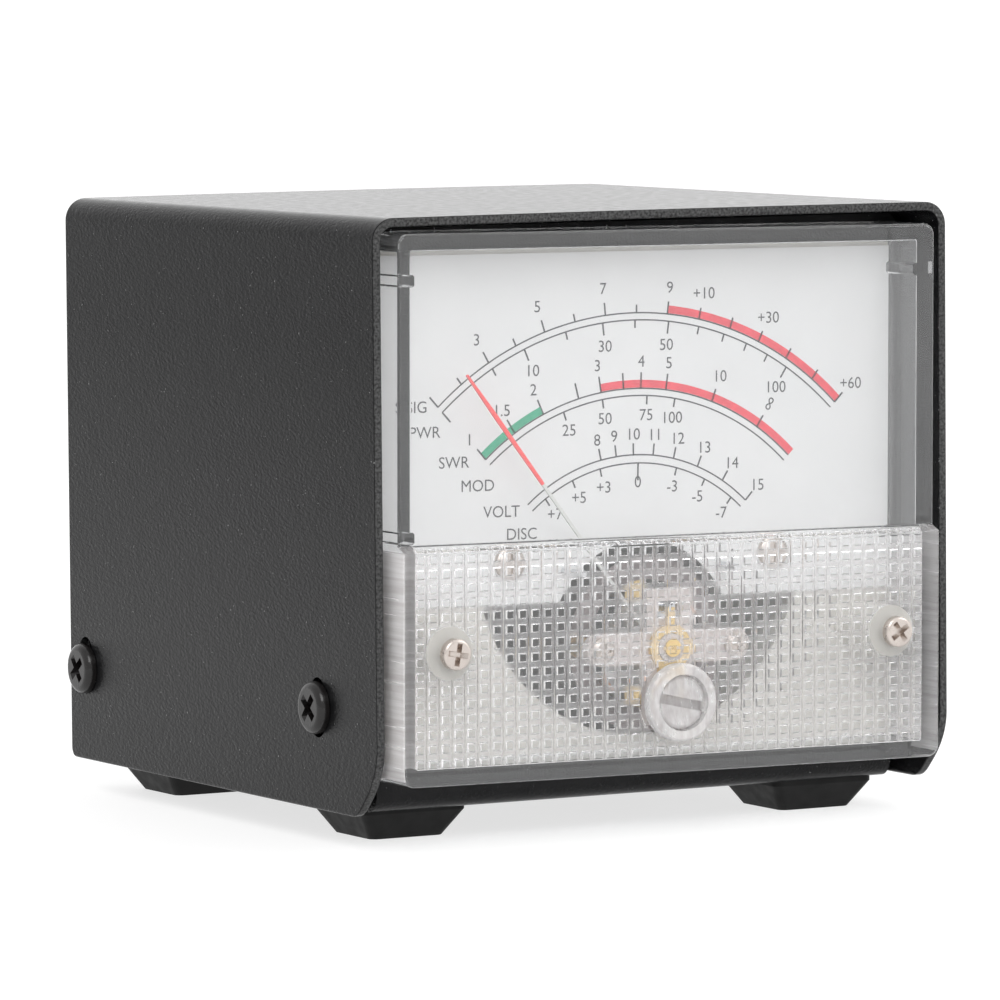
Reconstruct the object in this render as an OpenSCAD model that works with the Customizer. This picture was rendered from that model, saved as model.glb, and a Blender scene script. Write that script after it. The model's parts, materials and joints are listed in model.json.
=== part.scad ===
// Station power and standing-wave meter: a moving-coil panel meter in a folded
// sheet-metal case, with its jacks and level control on the rear panel.
// Frame: +X to the right, +Y to the rear, +Z up, millimetres. The feet stand on
// z = 0 and the origin is midway across and midway from front to rear.

/* [Case] */
// Width of the folded cover
cover_w = 73.6; // [72.8:0.2:76]
// Depth of the folded cover
cover_d = 76.8; // [75:0.2:80]
// Height of the folded cover
cover_h = 66; // [65.6:0.2:70]
// Thickness of the steel sheet
sheet = 1; // [1:0.1:1.3]
// Outer radius of the cover's two bends
cover_bend = 2.6; // [2:0.1:3]
// Leg of the chamfer on each lower front corner of the cover
front_chamfer = 5; // [3:0.5:6]
// How far the chassis' front panel sits behind the cover's front edge
panel_setback = 6.8; // [6.4:0.1:7.4]
// How far the chassis' rear panel sits inside the cover's rear edge
rear_setback = 1; // [0.5:0.1:1.5]
// Outer radius of the chassis' bends
chassis_bend = 2; // [1.6:0.1:2.4]

/* [Feet] */
// Height of each rubber foot
foot_h = 3.6; // [3:0.2:5]
// Width of a foot against the chassis
foot_w = 13; // [11:0.5:14]
// How far each side of a foot leans in towards the floor
foot_taper = 1.9; // [1:0.1:2.5]

/* [Meter] */
// Width of the clear lens
lens_w = 68.8; // [68:0.1:69.5]
// Height of the clear lens
lens_h = 60.4; // [59:0.1:60.6]
// Thickness of the clear lens across its front
lens_wall = 1.5; // [1.2:0.1:1.8]
// Thickness of the clear lens round its sides
lens_side = 1.8; // [1.5:0.1:2]
// Height of the lens above the cover's lower edge
lens_lift = 3.5; // [3:0.1:3.7]
// How far the lower part of the lens stands ahead of the cover
lens_proud = 3; // [2:0.1:4]
// How far the upper window sits behind the lower part
window_step = 1.4; // [0.8:0.1:1.8]
// Turn of the whole meter in its panel, clockwise from the front
meter_tilt = 0.55; // [0:0.05:1]
// How far the meter sits to the left of the middle of the case
meter_offset = 0.45; // [0:0.05:0.6]
// Height of the pointer's axis above the cover's lower edge
pivot_lift = 17.3; // [17:0.1:17.8]
// Length of the pointer from its axis to its tip
pointer_len = 39; // [34:0.5:40]
// Lean of the pointer to the left at rest
pointer_rest = 37.3; // [30:0.1:43]

/* [Rear panel] */
// Height of the jacks and the level control above the cover's lower edge
rear_lift = 26; // [22:1:40]
// Distance between neighbouring fittings on the rear panel
rear_pitch = 20; // [18:1:22]

/* [Hidden] */

round_fn = 48;      // cylinders
fine_fn = 24;       // small cylinders
eps = 0.01;         // overshoot of a cutting tool

case_black = [0.10, 0.10, 0.105];
rubber_black = [0.05, 0.05, 0.05];
screw_black = [0.14, 0.12, 0.11];
clear = [0.86, 0.90, 0.92, 0.35];
cream = [0.89, 0.87, 0.80];
white = [0.93, 0.93, 0.92];
steel = [0.62, 0.63, 0.65];
dark_steel = [0.28, 0.28, 0.30];
brass = [0.80, 0.64, 0.32];
nickel = [0.82, 0.76, 0.70];
copper = [0.78, 0.42, 0.22];
red = [0.92, 0.22, 0.16];
green_board = [0.10, 0.36, 0.20];
plastic_black = [0.08, 0.08, 0.09];
yellow = [0.90, 0.75, 0.15];

// Case levels
base_z = foot_h;                        // cover's lower edge and chassis' underside
top_z = base_z + cover_h;
front_y = -cover_d / 2;                 // cover's front edge
rear_y = cover_d / 2;
panel_y = front_y + panel_setback;      // front face of the front panel
rear_panel_y = rear_y - rear_setback;   // rear face of the rear panel
chassis_gap = 0.2;                      // chassis to cover, each side
chassis_w = cover_w - 2 * (sheet + chassis_gap);
chassis_h = cover_h - sheet - 0.5;
chassis_d = rear_panel_y - panel_y;
relief_w = 2.3;                         // notch at each end of a chassis bend
relief_h = 4.6;

// Screws through the cover's sides
side_screws = [[front_y + 13.9, base_z + 11.4], [rear_y - 4.2, base_z + 10.8]];   // Y and Z of each
side_slot_rise = [0, 0.35];             // each slot's middle above its screw
side_slot_w = 3.4;
side_slot_h = 6.7;
tab_w = 11.5;                           // side tabs of the chassis
tab_h = 13;
m3_r = 1.5;
head_r = 2.95;
head_h = 1.35;

// Meter levels, from the lens' face to the rear of its barrel
lens_y = front_y - lens_proud;
window_y = lens_y + window_step;
lens_inner_y = lens_y + lens_wall;
flange_back = panel_y;
base_flange_t = 0.7;
flange_y = flange_back - base_flange_t;
dial_t = 0.3;
dial_y = flange_y - dial_t;
lens_z = base_z + lens_lift;
lens_mid_z = lens_z + lens_h / 2;
step_z = lens_z + 25.6;                 // short sloped step across the lens
step_run = 0.8;
corner_r = 1.3;
pivot = [0, 0, base_z + pivot_lift];
well_r = 21;
well_z = pivot[2] + 10.7;
barrel_r = well_r + 1.5;
floor_y = flange_back + 14.6;           // front of the barrel's floor
floor_t = 2;
stud_x = 28.5;
stud_dz = 24;
stud_len = 8;
lens_screw_x = 28.4;
lens_screw_z = pivot[2] + 0.7;
boss_r = 2.9;
dial_w = 64.9;
dial_z = pivot[2] + 5;
dial_h = 38.9;
arch_r = 11.6;                          // opening of the dial round the movement
dial_screw_x = 17;
dial_screw_z = pivot[2] + 9.6;

// Movement, along the pointer's axis
pointer_y = front_y + 2.7;
pointer_t = 0.5;
bridge_y = front_y - 0.3;
bridge_t = 1.2;
post_x = 8.6;
yoke_y = dial_y - 0.9;
yoke_len = 12;
yoke_r = 9.8;
yoke_bore = 7.2;
core_r = 5;
core_y = yoke_y + 0.5;
core_len = yoke_len - 1;
coil_in = 5.4;
coil_out = 6.5;
coil_w = 3;
coil_wall = 1;
coil_y = core_y - coil_wall - 0.3;
coil_len = core_len + 2 * (coil_wall + 0.3);
frame_t = 2;
frame_y = floor_y - frame_t;
arbor_r = 0.5;
tip_r = 0.3;
jewel_r = 1;
jewel_cup = 0.35;
bush_r = 1.6;                           // the zero lever turns on this bush
lever_t = 0.5;
lever_y = bridge_y - lever_t;
lever_arm_r = 4.1;                      // its arm reaches back to the front hairspring
zero_drop = 5.9;                        // zero adjuster below the pointer's axis
pin_throw = 1.2;                        // eccentric pin above the adjuster's axis
pin_r = 0.4;
adjuster_r = 1.7;
adjuster_head = 3;
ring_r = 4.35;                          // raised ring of the lens round the adjuster
ring_out = 1.3;
lens_screw_head = 1.2;
stop_r = 0.4;
stop_radius = 13;
stop_angle = 49.5;

// Rear fittings
rear_z = base_z + rear_lift;
rear_inner_y = rear_panel_y - sheet;
jack_x = rear_pitch;
power_x = -rear_pitch;
jack_body = [10, 11, 9];
jack_r = 3;
jack_bore = 1.8;
jack_out = 3.3;
power_r = 4;
power_bore = 2.9;
power_pin = 1;
power_len = 11;
power_out = 3;
level_body_r = 8;
level_body_len = 7;
bushing_r = 3.5;
shaft_r = 3;
shaft_gap = 0.05;
bushing_out = 3;
shaft_out = ring_out - lens_y - rear_panel_y;   // as far out behind as the lens' ring in front

// Wires
wire_r = 0.6;
wire_sides = 8;
wire_rings = 30;

// ---------- helpers ----------

// A cylinder along +Y that starts at y
module rod_y(r, y, length, x = 0, z = 0, fn = round_fn) {
    translate([x, y, z]) rotate([-90, 0, 0]) cylinder(r = r, h = length, $fn = fn);
}

// A cone along +Y
module cone_y(r_start, r_end, y, length, x = 0, z = 0) {
    translate([x, y, z]) rotate([-90, 0, 0]) cylinder(r1 = r_start, r2 = r_end, h = length, $fn = fine_fn);
}

// A box given by its middle in X and Z and its start in Y
module block(w, d, h, x, y, z) {
    translate([x - w / 2, y, z - h / 2]) cube([w, d, h]);
}

// A hexagonal nut along +Y
module hex_nut(across, bore, y, t, x, z) {
    difference() {
        rod_y(across / 2 / cos(30), y, t, x, z, 6);
        rod_y(bore, y - 1, t + 2, x, z, fine_fn);
    }
}

// A cross recess cut into a screw head, in the XZ plane
module cross_slot(size, width, y, depth, x, z) {
    block(size, depth, width, x, y, z);
    block(width, depth, size, x, y, z);
}

// Puts the meter in its place on the panel, turned about the pointer's axis
module tilted() {
    translate(pivot - [meter_offset, 0, 0]) rotate([0, meter_tilt, 0]) translate(-pivot) children();
}

// A plate with round corners, in the XZ plane
module round_plate(w, h, r, y, t, z) {
    block(w - 2 * r, t, h, 0, y, z);
    block(w, t, h - 2 * r, 0, y, z);
    for (sx = [-1, 1], sz = [-1, 1])
        rod_y(r, y, t, sx * (w / 2 - r), z + sz * (h / 2 - r));
}

// ---------- case ----------

// A block whose two upper long edges are round
module arched_block(w, h, r, y, d) {
    block(w - 2 * r, d, h, 0, y, base_z + h / 2);
    block(w, d, h - r, 0, y, base_z + (h - r) / 2);
    for (side = [-1, 1])
        rod_y(r, y, d, side * (w / 2 - r), base_z + h - r);
}

module cover() {
    color(case_black) difference() {
        arched_block(cover_w, cover_h, cover_bend, front_y, cover_d);
        translate([0, 0, -eps])
            arched_block(cover_w - 2 * sheet, cover_h - sheet + eps, cover_bend - sheet,
                         front_y - 1, cover_d + 2);
        translate([0, front_y, base_z]) rotate([45, 0, 0])
            cube([cover_w + 2, front_chamfer * sqrt(2), front_chamfer * sqrt(2)], center = true);
        for (i = [0, 1])
            translate([0, side_screws[i][0], side_screws[i][1] + side_slot_rise[i]]) side_slot();
    }
}

// An upright slot through both sides, a little longer than a screw's head
module side_slot() {
    straight = side_slot_h - side_slot_w;
    cube([2 * cover_w, side_slot_w, straight], center = true);
    for (end = [-1, 1])
        translate([-cover_w, 0, end * straight / 2]) rotate([0, 90, 0])
            cylinder(r = side_slot_w / 2, h = 2 * cover_w, $fn = fine_fn);
}

// A block whose two lower cross edges are round
module channel_block(w, h, r, y, d, z) {
    translate([-w / 2, y, z + r]) cube([w, d, h - r]);
    translate([-w / 2, y + r, z]) cube([w, d - 2 * r, h]);
    for (edge = [y + r, y + d - r])
        translate([-w / 2, edge, z + r]) rotate([0, 90, 0]) cylinder(r = r, h = w, $fn = round_fn);
}

module side_tab(side, y) {
    translate([side * (chassis_w / 2 - sheet / 2), y, base_z + 11.4])
        cube([sheet, tab_w, tab_h], center = true);
}

module chassis() {
    color(case_black) difference() {
        union() {
            difference() {
                channel_block(chassis_w, chassis_h, chassis_bend, panel_y, chassis_d, base_z);
                translate([0, 0, sheet])
                    channel_block(chassis_w + 2, chassis_h, chassis_bend - sheet,
                                  panel_y + sheet, chassis_d - 2 * sheet, base_z);
                for (side = [-1, 1], y = [panel_y, rear_panel_y])
                    translate([side * chassis_w / 2, y, base_z])
                        cube([2 * relief_w, 9, 2 * relief_h], center = true);
                for (side = [-1, 1])
                    translate([side * chassis_w / 2, 0, base_z + chassis_h]) rotate([0, 45, 0])
                        cube([3, cover_d, 3], center = true);
            }
            for (side = [-1, 1]) {
                side_tab(side, panel_y + tab_w / 2);
                side_tab(side, rear_panel_y - tab_w / 2);
            }
        }
        for (place = side_screws)
            translate([-cover_w, place[0], place[1]]) rotate([0, 90, 0])
                cylinder(r = m3_r, h = 2 * cover_w, $fn = fine_fn);
        tilted() {
            rod_y(barrel_r + 0.3, panel_y - 1, sheet + 2, 0, well_z);
            for (sx = [-1, 1], sz = [-1, 1])
                rod_y(m3_r + 0.2, panel_y - 1, sheet + 2, sx * stud_x, lens_mid_z + sz * stud_dz, fine_fn);
        }
        rod_y(jack_r + 0.1, rear_inner_y - 1, sheet + 2, jack_x, rear_z);
        rod_y(power_r + 0.1, rear_inner_y - 1, sheet + 2, power_x, rear_z);
        rod_y(bushing_r + 0.1, rear_inner_y - 1, sheet + 2, 0, rear_z);
    }
}

// A low pan-head screw that points inwards along +X from the left face of the cover
module cover_screw() {
    crown = 0.75;                       // height at which the head starts to round over
    difference() {
        union() {
            translate([-crown, 0, 0]) rotate([0, 90, 0]) cylinder(r = head_r, h = crown, $fn = round_fn);
            translate([-head_h, 0, 0]) rotate([0, 90, 0])
                cylinder(r1 = head_r - 0.6, r2 = head_r, h = head_h - crown, $fn = round_fn);
            rotate([0, 90, 0]) cylinder(r = m3_r, h = 4.4, $fn = fine_fn);
        }
        for (turn = [45, 135])
            rotate([turn, 0, 0]) translate([-head_h - 1, -1.65, -0.45]) cube([2.1, 3.3, 0.9]);
    }
}

// The screws run through the cover's slots into tapped holes in the chassis' side tabs
module cover_screws() {
    color(screw_black)
        for (side = [0, 1], place = side_screws)
            mirror([side, 0, 0]) translate([-cover_w / 2, place[0], place[1]]) cover_screw();
}

// A square rubber foot with a short upright lip and leaning sides
module foot(x, y) {
    lip = 0.6;
    round = 1;
    bottom = foot_w - 2 * foot_taper;
    color(rubber_black) translate([x, y, 0]) hull()
        for (sx = [-1, 1], sy = [-1, 1]) {
            translate([sx * (foot_w / 2 - round), sy * (foot_w / 2 - round), foot_h - lip])
                cylinder(r = round, h = lip, $fn = fine_fn);
            translate([sx * (bottom / 2 - round), sy * (bottom / 2 - round), 0])
                cylinder(r = round, h = 0.1, $fn = fine_fn);
        }
}

// The feet are stuck on by hand, so the two front ones are not quite in line
module foot_front_left() { foot(-26.4, -21.4); }
module foot_front_right() { foot(25.8, -23); }
module foot_rear_left() { foot(-26, 27.6); }
module foot_rear_right() { foot(26.2, 27.2); }

// ---------- meter housing ----------

// The moulded base: a flange behind the lens and dial, and a round barrel behind the panel
module meter_base() {
    lamp_post_x = 8.5;
    color(cream) tilted() difference() {
        union() {
            round_plate(lens_w - 2 * lens_side - 0.2, lens_h - 2 * lens_side - 0.2, 0.4, flange_y, base_flange_t,
                        lens_mid_z);
            rod_y(barrel_r, flange_back - eps, floor_y + floor_t - flange_back, 0, well_z);
            for (side = [-1, 1])
                rod_y(boss_r, lens_inner_y, flange_y - lens_inner_y + eps, side * lens_screw_x, lens_screw_z);
            for (sx = [-1, 1], sz = [-1, 1])
                rod_y(m3_r, flange_back - eps, stud_len, sx * stud_x, lens_mid_z + sz * stud_dz, fine_fn);
        }
        difference() {
            rod_y(well_r, flange_y - 1, floor_y - flange_y + 1, 0, well_z);
            for (side = [-1, 1])
                rod_y(2, floor_y - 7, 8, side * lamp_post_x, lamp_z, fine_fn);
        }
        for (side = [-1, 1]) {
            rod_y(0.8, lens_inner_y - 1, 7, side * lens_screw_x, lens_screw_z, fine_fn);
            rod_y(0.8, floor_y - 8, 6, side * lamp_post_x, lamp_z, fine_fn);
            rod_y(1, floor_y - 1, 5, side * frame_screw_x, pivot[2], fine_fn);
            rod_y(m3_r, floor_y - 1, 5, side * terminal_x, terminal_z, fine_fn);
            rod_y(0.8, flange_y - 1, 5, side * dial_screw_x, dial_screw_z, fine_fn);
        }
        rod_y(2, floor_y - 1, 5, 0, wire_hole_z, fine_fn);
    }
}
lamp_z = well_z + 11.4;
frame_screw_x = 13;
terminal_x = 15;
terminal_z = well_z + 1.5;
wire_hole_z = well_z + 5;

module at_studs() {
    tilted() for (sx = [-1, 1], sz = [-1, 1])
        translate([sx * stud_x, 0, lens_mid_z + sz * stud_dz]) children();
}

module meter_washers() {
    color(steel) at_studs() difference() {
        rod_y(3.2, panel_y + sheet, 0.5);
        rod_y(m3_r + 0.1, panel_y, 3, fn = fine_fn);
    }
}

module meter_nuts() {
    color(steel) at_studs() hex_nut(5.5, m3_r, panel_y + sheet + 0.5, 2.4, 0, 0);
}

// The outline of the lens, or the hollow behind it: a box with a short step across its front
module lens_solid(side_inset, front_inset, corner, back) {
    front = lens_y + front_inset;
    window = window_y + front_inset;
    difference() {
        round_plate(lens_w - 2 * side_inset, lens_h - 2 * side_inset, corner, front, back - front, lens_mid_z);
        rotate([90, 0, 90]) translate([0, 0, -lens_w])
            linear_extrude(height = 2 * lens_w)
                polygon([
                    [lens_y - 1, step_z],
                    [front, step_z],
                    [window, step_z + step_run],
                    [window, lens_z + lens_h + 1],
                    [lens_y - 1, lens_z + lens_h + 1]
                ]);
    }
}

// A clear cap that reaches back to the panel, round the base's flange
module lens() {
    zero_z = pivot[2] - zero_drop;
    rib_y = window_y + lens_wall - eps;
    rib_depth = dial_y - 0.2 - rib_y;
    inner_x = lens_w / 2 - lens_side;
    color(clear) tilted() difference() {
        union() {
            difference() {
                lens_solid(0, 0, corner_r, flange_back);
                lens_solid(lens_side, lens_wall, 0.3, flange_back + 1);
            }
            for (side = [-1, 1])
                block(1.2, rib_depth, 1.35, side * inner_x, rib_y, lens_z + lens_h - 5.2);
            block(1.2, rib_depth, 1.35, -inner_x, rib_y, lens_z + 27.1);
            rod_y(ring_r, lens_y - ring_out, ring_out + 0.5, 0, zero_z);
        }
        rod_y(adjuster_r + 0.05, lens_y, lens_wall + 1, 0, zero_z);
        rod_y(adjuster_head + 0.15, lens_y - 2, 2.5, 0, zero_z);
        for (side = [-1, 1])
            rod_y(1.1, lens_y - 1, lens_wall + 2, side * lens_screw_x, lens_screw_z, fine_fn);
    }
}

// A small pan-head screw along +Y, with its head's underside at y
module pan_screw(head, head_h, shank, length, y, x, z) {
    difference() {
        union() {
            rod_y(head, y - head_h * 0.6, head_h * 0.6, x, z);
            cone_y(head * 0.72, head, y - head_h, head_h * 0.4, x, z);
            rod_y(shank, y - eps, length, x, z, fine_fn);
        }
        cross_slot(head * 1.2, head * 0.28, y - head_h - 1, head_h * 0.6 + 1, x, z);
    }
}

module lens_screws() {
    color(nickel) tilted() for (side = [-1, 1])
        pan_screw(1.75, lens_screw_head, 0.8, 5.5, lens_y, side * lens_screw_x, lens_screw_z);
}

module dial_plate() {
    color(white) tilted() difference() {
        translate([-dial_w / 2, dial_y, dial_z]) cube([dial_w, dial_t, dial_h]);
        rod_y(arch_r, dial_y - 1, dial_t + 2, 0, pivot[2]);
        for (side = [-1, 1]) {
            rod_y(1, dial_y - 1, dial_t + 2, side * dial_screw_x, dial_screw_z, fine_fn);
            translate(pivot) rotate([0, side * stop_angle, 0])
                rod_y(stop_r, dial_y - 1, dial_t + 2, 0, stop_radius, fine_fn);
        }
    }
}

module dial_screws() {
    color(nickel) tilted() for (side = [-1, 1])
        pan_screw(1.8, 1, 0.8, 1.4, dial_y, side * dial_screw_x, dial_screw_z);
}

// Two wire pins in the dial that stop the pointer past each end of its scales
module pointer_stops() {
    color(steel) tilted() for (side = [-1, 1])
        translate(pivot) rotate([0, side * stop_angle, 0])
            rod_y(stop_r, pointer_y - 1.2, dial_y + dial_t - pointer_y + 1.2, 0, stop_radius, fine_fn);
}

// ---------- movement ----------

module at_pivot() {
    tilted() translate(pivot) children();
}

// The plate on the floor of the barrel that carries the magnet system
module movement_frame() {
    color(dark_steel) at_pivot() difference() {
        union() {
            intersection() {
                block(34, frame_t, 16, 0, frame_y, 0.8);
                rod_y(well_r - 0.4, frame_y, frame_t, 0, well_z - pivot[2]);
            }
            for (side = [-1, 1])
                rod_y(1.2, yoke_y + yoke_len, frame_y - yoke_y - yoke_len + eps, side * post_x, 0, fine_fn);
        }
        rod_y(jewel_r, frame_y - 1, frame_t + 2, 0, 0, fine_fn);
        for (side = [-1, 1])
            rod_y(1.1, frame_y - 1, frame_t + 2, side * frame_screw_x, 0, fine_fn);
    }
}

module movement_screws() {
    color(steel) at_pivot() for (side = [-1, 1])
        pan_screw(2, 1.2, 1, frame_t + 1.5, frame_y, side * frame_screw_x, 0);
}

module yoke_ring() {
    color(dark_steel) at_pivot() difference() {
        rod_y(yoke_r, yoke_y, yoke_len);
        rod_y(yoke_bore, yoke_y - 1, yoke_len + 2);
    }
}

module core_magnet() {
    color(steel) at_pivot() rod_y(core_r, core_y, core_len);
}

// Brass bars above and below the core, clear of the coil's swing
module core_brackets() {
    bar_w = 2.4;
    bar_len = 7;
    bar_y = core_y + (core_len - bar_len) / 2;
    color(brass) at_pivot() difference() {
        for (side = [-1, 1])
            block(bar_w, bar_len, yoke_bore - core_r + 0.9, 0, bar_y, side * (yoke_bore + core_r) / 2);
        rod_y(core_r, bar_y - 1, bar_len + 2);
        difference() {
            rod_y(yoke_r + 1, bar_y - 1, bar_len + 2);
            rod_y(yoke_bore, bar_y - 2, bar_len + 4);
        }
    }
}

module bridge_posts() {
    post_y = bridge_y + bridge_t;
    color(brass) at_pivot() for (side = [-1, 1])
        difference() {
            rod_y(1.2, post_y, yoke_y - post_y, side * post_x, 0, fine_fn);
            rod_y(0.5, post_y - 1, 4, side * post_x, 0, fine_fn);
        }
}

// The moulded cross in front of the movement, with the bush that the zero lever turns on
// and a window for the lever's spring arm
module front_bridge() {
    bar_h = 3.6;
    plate_w = 5.6;
    plate_top = 6.6;
    plate_bottom = -8.6;
    color(white) at_pivot() difference() {
        union() {
            block(2 * post_x, bridge_t, bar_h, 0, bridge_y, 0);
            block(plate_w, bridge_t, plate_top - plate_bottom, 0, bridge_y, (plate_top + plate_bottom) / 2);
            for (side = [-1, 1])
                rod_y(bar_h / 2, bridge_y, bridge_t, side * post_x, 0);
            rod_y(bush_r, bridge_y - lever_t - 0.15, lever_t + 0.2, 0, 0);
        }
        rod_y(jewel_r, bridge_y - 2, bridge_t + 4, 0, 0, fine_fn);
        block(3, bridge_t + 2, 1.9, 0, bridge_y - 1, lever_arm_r + 0.15);
        for (side = [-1, 1])
            rod_y(0.6, bridge_y - 1, bridge_t + 2, side * post_x, 0, fine_fn);
    }
}

module bridge_screws() {
    color(nickel) at_pivot() for (side = [-1, 1])
        pan_screw(1.4, 0.8, 0.5, bridge_t + 2.5, bridge_y, side * post_x, 0);
}

// A screw with a jewelled cup that holds one end of the coil's axis
module jewel_screw(cup_y, length, facing) {
    difference() {
        rod_y(jewel_r, facing > 0 ? cup_y - length : cup_y, length, 0, 0, fine_fn);
        rod_y(jewel_cup, cup_y - (facing > 0 ? 0.6 : 1), 1.6, 0, 0, fine_fn);
        block(3, 0.4, 0.4, 0, facing > 0 ? cup_y - length - eps : cup_y + length - 0.4 + eps, 0);
    }
}

cup_front = bridge_y + bridge_t + 0.2;
cup_rear = frame_y - 0.6;

module front_jewel_screw() {
    color(brass) at_pivot() jewel_screw(cup_front, bridge_t + 1.2, 1);
}

module rear_jewel_screw() {
    color(brass) at_pivot() jewel_screw(cup_rear, frame_t + 0.2, -1);
}

// A slotted screw in the lens, with an eccentric pin that moves the zero lever
module zero_adjuster() {
    collar_t = 0.4;
    slot_turn = 12;
    color(clear) at_pivot() translate([0, 0, -zero_drop]) {
        difference() {
            union() {
                rod_y(adjuster_head, lens_y - 0.9, 1.35);
                rod_y(adjuster_r, lens_y + 0.4, lens_wall - 0.4 + eps);
                rod_y(adjuster_r, lens_inner_y, collar_t);
            }
            rotate([0, slot_turn, 0]) block(1.1, 2.1, 2 * adjuster_head + 1, 0, lens_y - 2.1, 0);
        }
        rod_y(pin_r, lens_inner_y, lever_y + lever_t - 0.1 - lens_inner_y, 0, pin_throw, fine_fn);
    }
}

// The forked lever that the adjuster's pin moves; it carries the outer end of the front hairspring
module zero_lever() {
    reach = zero_drop - pin_throw;
    color(brass) at_pivot() difference() {
        union() {
            rod_y(2.6, lever_y, lever_t, 0, 0);
            block(3, lever_t, reach + 1, 0, lever_y, -(reach + 1) / 2);
            block(1, lever_t, lever_arm_r + 0.4, 0, lever_y, (lever_arm_r + 0.4) / 2);
            block(1, spring_y + spring_t - lever_y, 0.6, 0, lever_y, lever_arm_r + 0.1);
        }
        rod_y(bush_r + 0.06, lever_y - 1, lever_t + 2);
        block(1.25, lever_t + 2, 2.4, 0, lever_y - 1, -reach - 0.2);
    }
}

// A flat spiral of thin strip, from the inner to the outer radius
module hairspring(y, inner, outer, turns) {
    strip = 0.12;
    steps = turns * 20;
    function at(i, shift) = let (a = 90 + 360 * turns * (i / steps - 1),
                                 r = inner + (outer - inner) * i / steps + shift)
        [r * cos(a), r * sin(a)];
    translate([0, y + spring_t, 0]) rotate([90, 0, 0]) linear_extrude(height = spring_t)
        polygon(concat([for (i = [0:steps]) at(i, strip / 2)],
                       [for (i = [steps:-1:0]) at(i, -strip / 2)]));
}
spring_t = 0.35;
spring_y = bridge_y + bridge_t + 0.25;

module front_hairspring() {
    color(brass) at_pivot() hairspring(spring_y, 1.5, 3.72, 4);
}

module rear_hairspring() {
    color(brass) at_pivot() {
        hairspring(rear_spring_y, 1.5, 3.72, 4);
        block(0.7, frame_y - rear_spring_y, 0.5, 0, rear_spring_y, 4.02);
    }
}
rear_spring_y = coil_y + coil_len + 0.2;

// Everything that swings is drawn upright and leans to its rest angle here
module swung() {
    at_pivot() rotate([0, -pointer_rest - meter_tilt, 0]) children();
}

module coil_former() {
    color(steel) swung() difference() {
        block(2 * coil_out, coil_len, coil_w, 0, coil_y, 0);
        block(2 * coil_in, coil_len - 2 * coil_wall, coil_w + 1, 0, coil_y + coil_wall, 0);
        rod_y(arbor_r, coil_y - 1, coil_len + 2, 0, 0, fine_fn);
    }
}

// Copper turns wound on the outside of the former
module coil_winding() {
    turns_t = 0.3;
    color(copper) swung() difference() {
        block(2 * (coil_out + turns_t), coil_len, coil_w - 0.8, 0, coil_y, 0);
        block(2 * coil_out, coil_len + 2, coil_w, 0, coil_y - 1, 0);
    }
}

// Short steel axles at the two ends of the coil, with fine tips in the jewels
module coil_pivots() {
    front_end = cup_front - 0.35;
    rear_end = cup_rear + 0.35;
    color(steel) swung() {
        rod_y(tip_r, front_end, 0.8, 0, 0, fine_fn);
        rod_y(arbor_r, cup_front + 0.1, coil_y + coil_wall - cup_front - 0.1, 0, 0, fine_fn);
        rod_y(arbor_r, coil_y + coil_len - coil_wall, cup_rear - 0.1 - coil_y - coil_len + coil_wall,
              0, 0, fine_fn);
        rod_y(tip_r, rear_end - 0.8, 0.8, 0, 0, fine_fn);
    }
}

// A light stem with a wider painted blade towards its tip
module pointer() {
    blade_start = 0.6 * pointer_len;
    color(red) swung() difference() {
        union() {
            rod_y(1.2, pointer_y - pointer_t / 2, pointer_t);
            block(0.35, pointer_t * 0.6, pointer_len - 12, 0, pointer_y - pointer_t * 0.3, (pointer_len - 12) / 2);
            translate([0, pointer_y + pointer_t * 0.3, 0]) rotate([90, 0, 0])
                linear_extrude(height = pointer_t * 0.6)
                    polygon([[-0.18, blade_start], [0.18, blade_start], [0.24, pointer_len - 6],
                             [0.12, pointer_len], [-0.12, pointer_len], [-0.24, pointer_len - 6]]);
            block(0.5, pointer_t, 6, 0, pointer_y - pointer_t / 2, -3);
        }
        rod_y(arbor_r, pointer_y - 2, 4, 0, 0, fine_fn);
    }
}

module balance_weights() {
    color(brass) swung() for (z = [-4.2, -5.4])
        difference() {
            block(1.6, 1.2, 0.9, 0, pointer_y - 0.6, z);
            block(0.5, pointer_t, 2, 0, pointer_y - pointer_t / 2, z);
        }
}

// ---------- electrics ----------

module terminal_studs() {
    color(brass) tilted() for (side = [-1, 1]) {
        rod_y(2.6, floor_y - 1.2, 1.2, side * terminal_x, terminal_z, 6);
        rod_y(m3_r, floor_y - eps, 11, side * terminal_x, terminal_z, fine_fn);
    }
}

module terminal_nuts() {
    color(brass) tilted() for (side = [-1, 1], n = [0, 1])
        hex_nut(5.5, m3_r, floor_y + floor_t + n * 3, 2.4, side * terminal_x, terminal_z);
}

// Solder lugs held between the two nuts of each terminal
module terminal_lugs() {
    color(steel) tilted() for (side = [-1, 1]) difference() {
        union() {
            rod_y(2.8, lug_y, 0.6, side * terminal_x, terminal_z);
            block(2.4, 0.6, 9, side * terminal_x, lug_y, terminal_z - 4.5);
        }
        rod_y(m3_r, lug_y - 1, 3, side * terminal_x, terminal_z, fine_fn);
    }
}
lug_y = floor_y + floor_t + 2.4;

board_t = 1;
board_y = floor_y - 7 - board_t;

module light_board() {
    color(green_board) tilted() difference() {
        block(24, board_t, 9, 0, board_y, lamp_z);
        for (side = [-1, 1])
            rod_y(1, board_y - 1, 3, side * 8.5, lamp_z, fine_fn);
    }
}

module light_board_screws() {
    color(steel) tilted() for (side = [-1, 1])
        pan_screw(1.7, 1, 0.8, 4.5, board_y, side * 8.5, lamp_z);
}

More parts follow.
